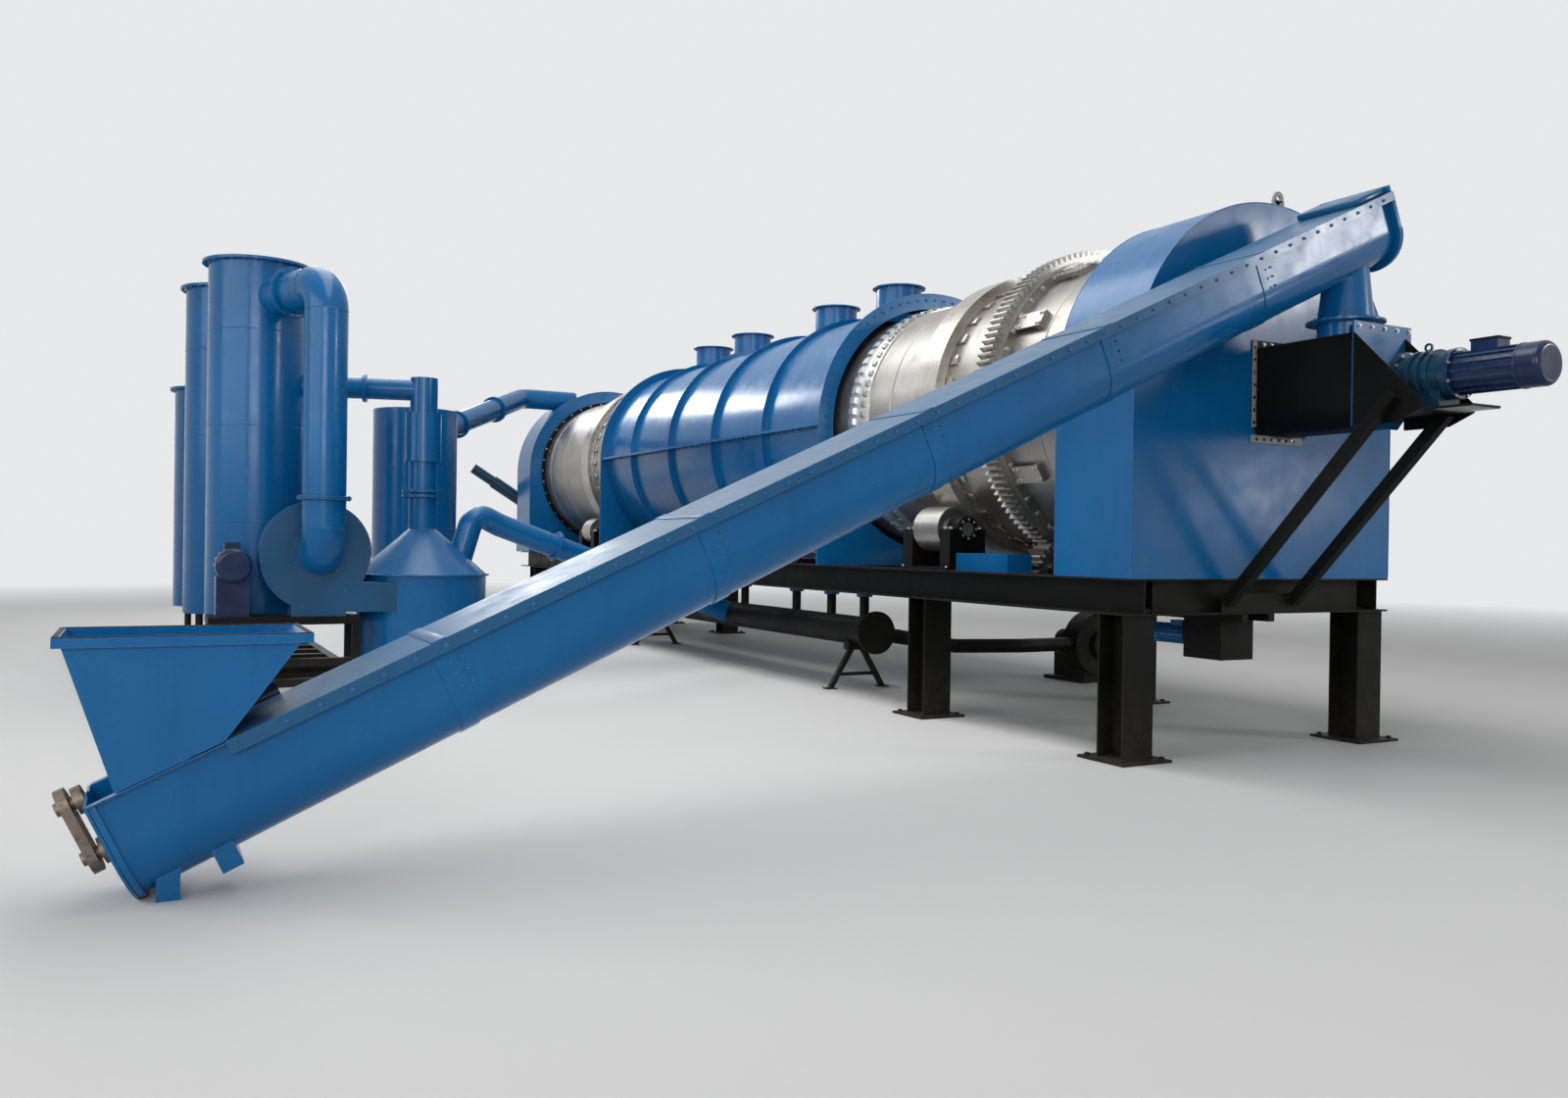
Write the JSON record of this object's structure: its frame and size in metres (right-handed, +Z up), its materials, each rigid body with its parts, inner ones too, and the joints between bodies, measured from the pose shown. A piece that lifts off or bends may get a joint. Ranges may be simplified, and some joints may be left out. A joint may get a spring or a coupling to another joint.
{
  "type": "rotary kiln",
  "caption": "Indirectly heated rotary kiln with riding rings, girth gear and heating jacket on a steel deck, a screw feeder, an inclined conveyor and towers that clean the gas.",
  "frame": {"origin": "centre of the underside of the near base plate at the feed end, on the floor", "axes": "+X along the kiln towards the feed end, +Y across the kiln away from the conveyor's low end, +Z up"},
  "size_m": [17.7892, 10.2656, 4.3731],
  "materials": {
    "blue_enamel": "gloss",
    "black_paint": "satin",
    "stainless_shell": "satin",
    "machined_steel": "machined",
    "motor_paint": "gloss",
    "gearbox_paint": "gloss",
    "oiled_iron": "oily"
  },
  "bodies": {
    "root": {"base_plates": "black_paint", "blower": "black_paint", "burner_manifold": "black_paint", "charge_hopper": "blue_enamel", "columns": "black_paint", "cone_tank": "blue_enamel", "conveyor_cover": "blue_enamel", "conveyor_drive": "oiled_iron", "conveyor_ends": "blue_enamel", "conveyor_feet": "blue_enamel", "conveyor_motor": "motor_paint", "conveyor_straps": "blue_enamel", "conveyor_trough": "blue_enamel", "cross_beams": "black_paint", "deck_beams": "black_paint", "discharge_hood": "blue_enamel", "discharge_hood_plates": "blue_enamel", "discharge_screw": "gearbox_paint", "feed_chute": "blue_enamel", "feed_hood": "blue_enamel", "feed_hood_front": "blue_enamel", "feed_hood_ring": "blue_enamel", "feeder_end_plate": "blue_enamel", "feeder_gearbox": "gearbox_paint", "feeder_motor": "motor_paint", "feeder_support": "black_paint", "feeder_trough": "black_paint", "fuel_pipe": "blue_enamel", "gas_fan": "blue_enamel", "gas_fan_motor": "motor_paint", "gas_fan_stand": "black_paint", "gas_pipe": "blue_enamel", "jacket_lower": "blue_enamel", "jacket_plates": "blue_enamel", "jacket_stubs": "blue_enamel", "jacket_upper": "blue_enamel", "kiln_drive": "black_paint", "kiln_motor": "blue_enamel", "manifold_trestles": "black_paint", "oil_box": "blue_enamel", "pinion_bearings": "black_paint", "roller_stands": "black_paint", "skid": "black_paint", "stack": "blue_enamel", "suction_duct": "blue_enamel", "tank_cone": "blue_enamel", "tower_lids": "blue_enamel", "tower_shells": "blue_enamel"},
    "drum": {"drum_shell": "stainless_shell", "riding_rings": "machined_steel", "girth_gear": "machined_steel", "gear_mount": "stainless_shell", "gland_ring": "stainless_shell"},
    "pinion_shaft": {"pinion": "machined_steel"},
    "roller_feed_near_body": {"roller_feed_near": "machined_steel"},
    "roller_feed_far_body": {"roller_feed_far": "machined_steel"},
    "roller_discharge_near_body": {"roller_discharge_near": "machined_steel"},
    "roller_discharge_far_body": {"roller_discharge_far": "machined_steel"}
  },
  "joints": [
    {"name": "drum_spin", "type": "hinge", "parent": "root", "child": "drum", "pos_m": [-1.59, 1.225, 2.71], "axis": [1, 0, 0], "continuous": true},
    {"name": "pinion_spin", "type": "hinge", "parent": "root", "child": "pinion_shaft", "pos_m": [-1.59, 0.61083, 1.33055], "axis": [1, 0, 0], "continuous": true},
    {"name": "roller_feed_near_spin", "type": "hinge", "parent": "root", "child": "roller_feed_near_body", "pos_m": [-2.47, 0.16413, 1.64913], "axis": [1, 0, 0], "continuous": true},
    {"name": "roller_feed_far_spin", "type": "hinge", "parent": "root", "child": "roller_feed_far_body", "pos_m": [-2.47, 2.28587, 1.64913], "axis": [1, 0, 0], "continuous": true},
    {"name": "roller_discharge_near_spin", "type": "hinge", "parent": "root", "child": "roller_discharge_near_body", "pos_m": [-11.82, 0.16413, 1.64913], "axis": [1, 0, 0], "continuous": true},
    {"name": "roller_discharge_far_spin", "type": "hinge", "parent": "root", "child": "roller_discharge_far_body", "pos_m": [-11.82, 2.28587, 1.64913], "axis": [1, 0, 0], "continuous": true}
  ],
  "couplings": [
    {"joint": "pinion_spin", "follows": "drum_spin", "ratio": -7.8824},
    {"joint": "roller_feed_near_spin", "follows": "drum_spin", "ratio": -6.5},
    {"joint": "roller_feed_far_spin", "follows": "drum_spin", "ratio": -6.5},
    {"joint": "roller_discharge_near_spin", "follows": "drum_spin", "ratio": -6.5},
    {"joint": "roller_discharge_far_spin", "follows": "drum_spin", "ratio": -6.5}
  ]
}
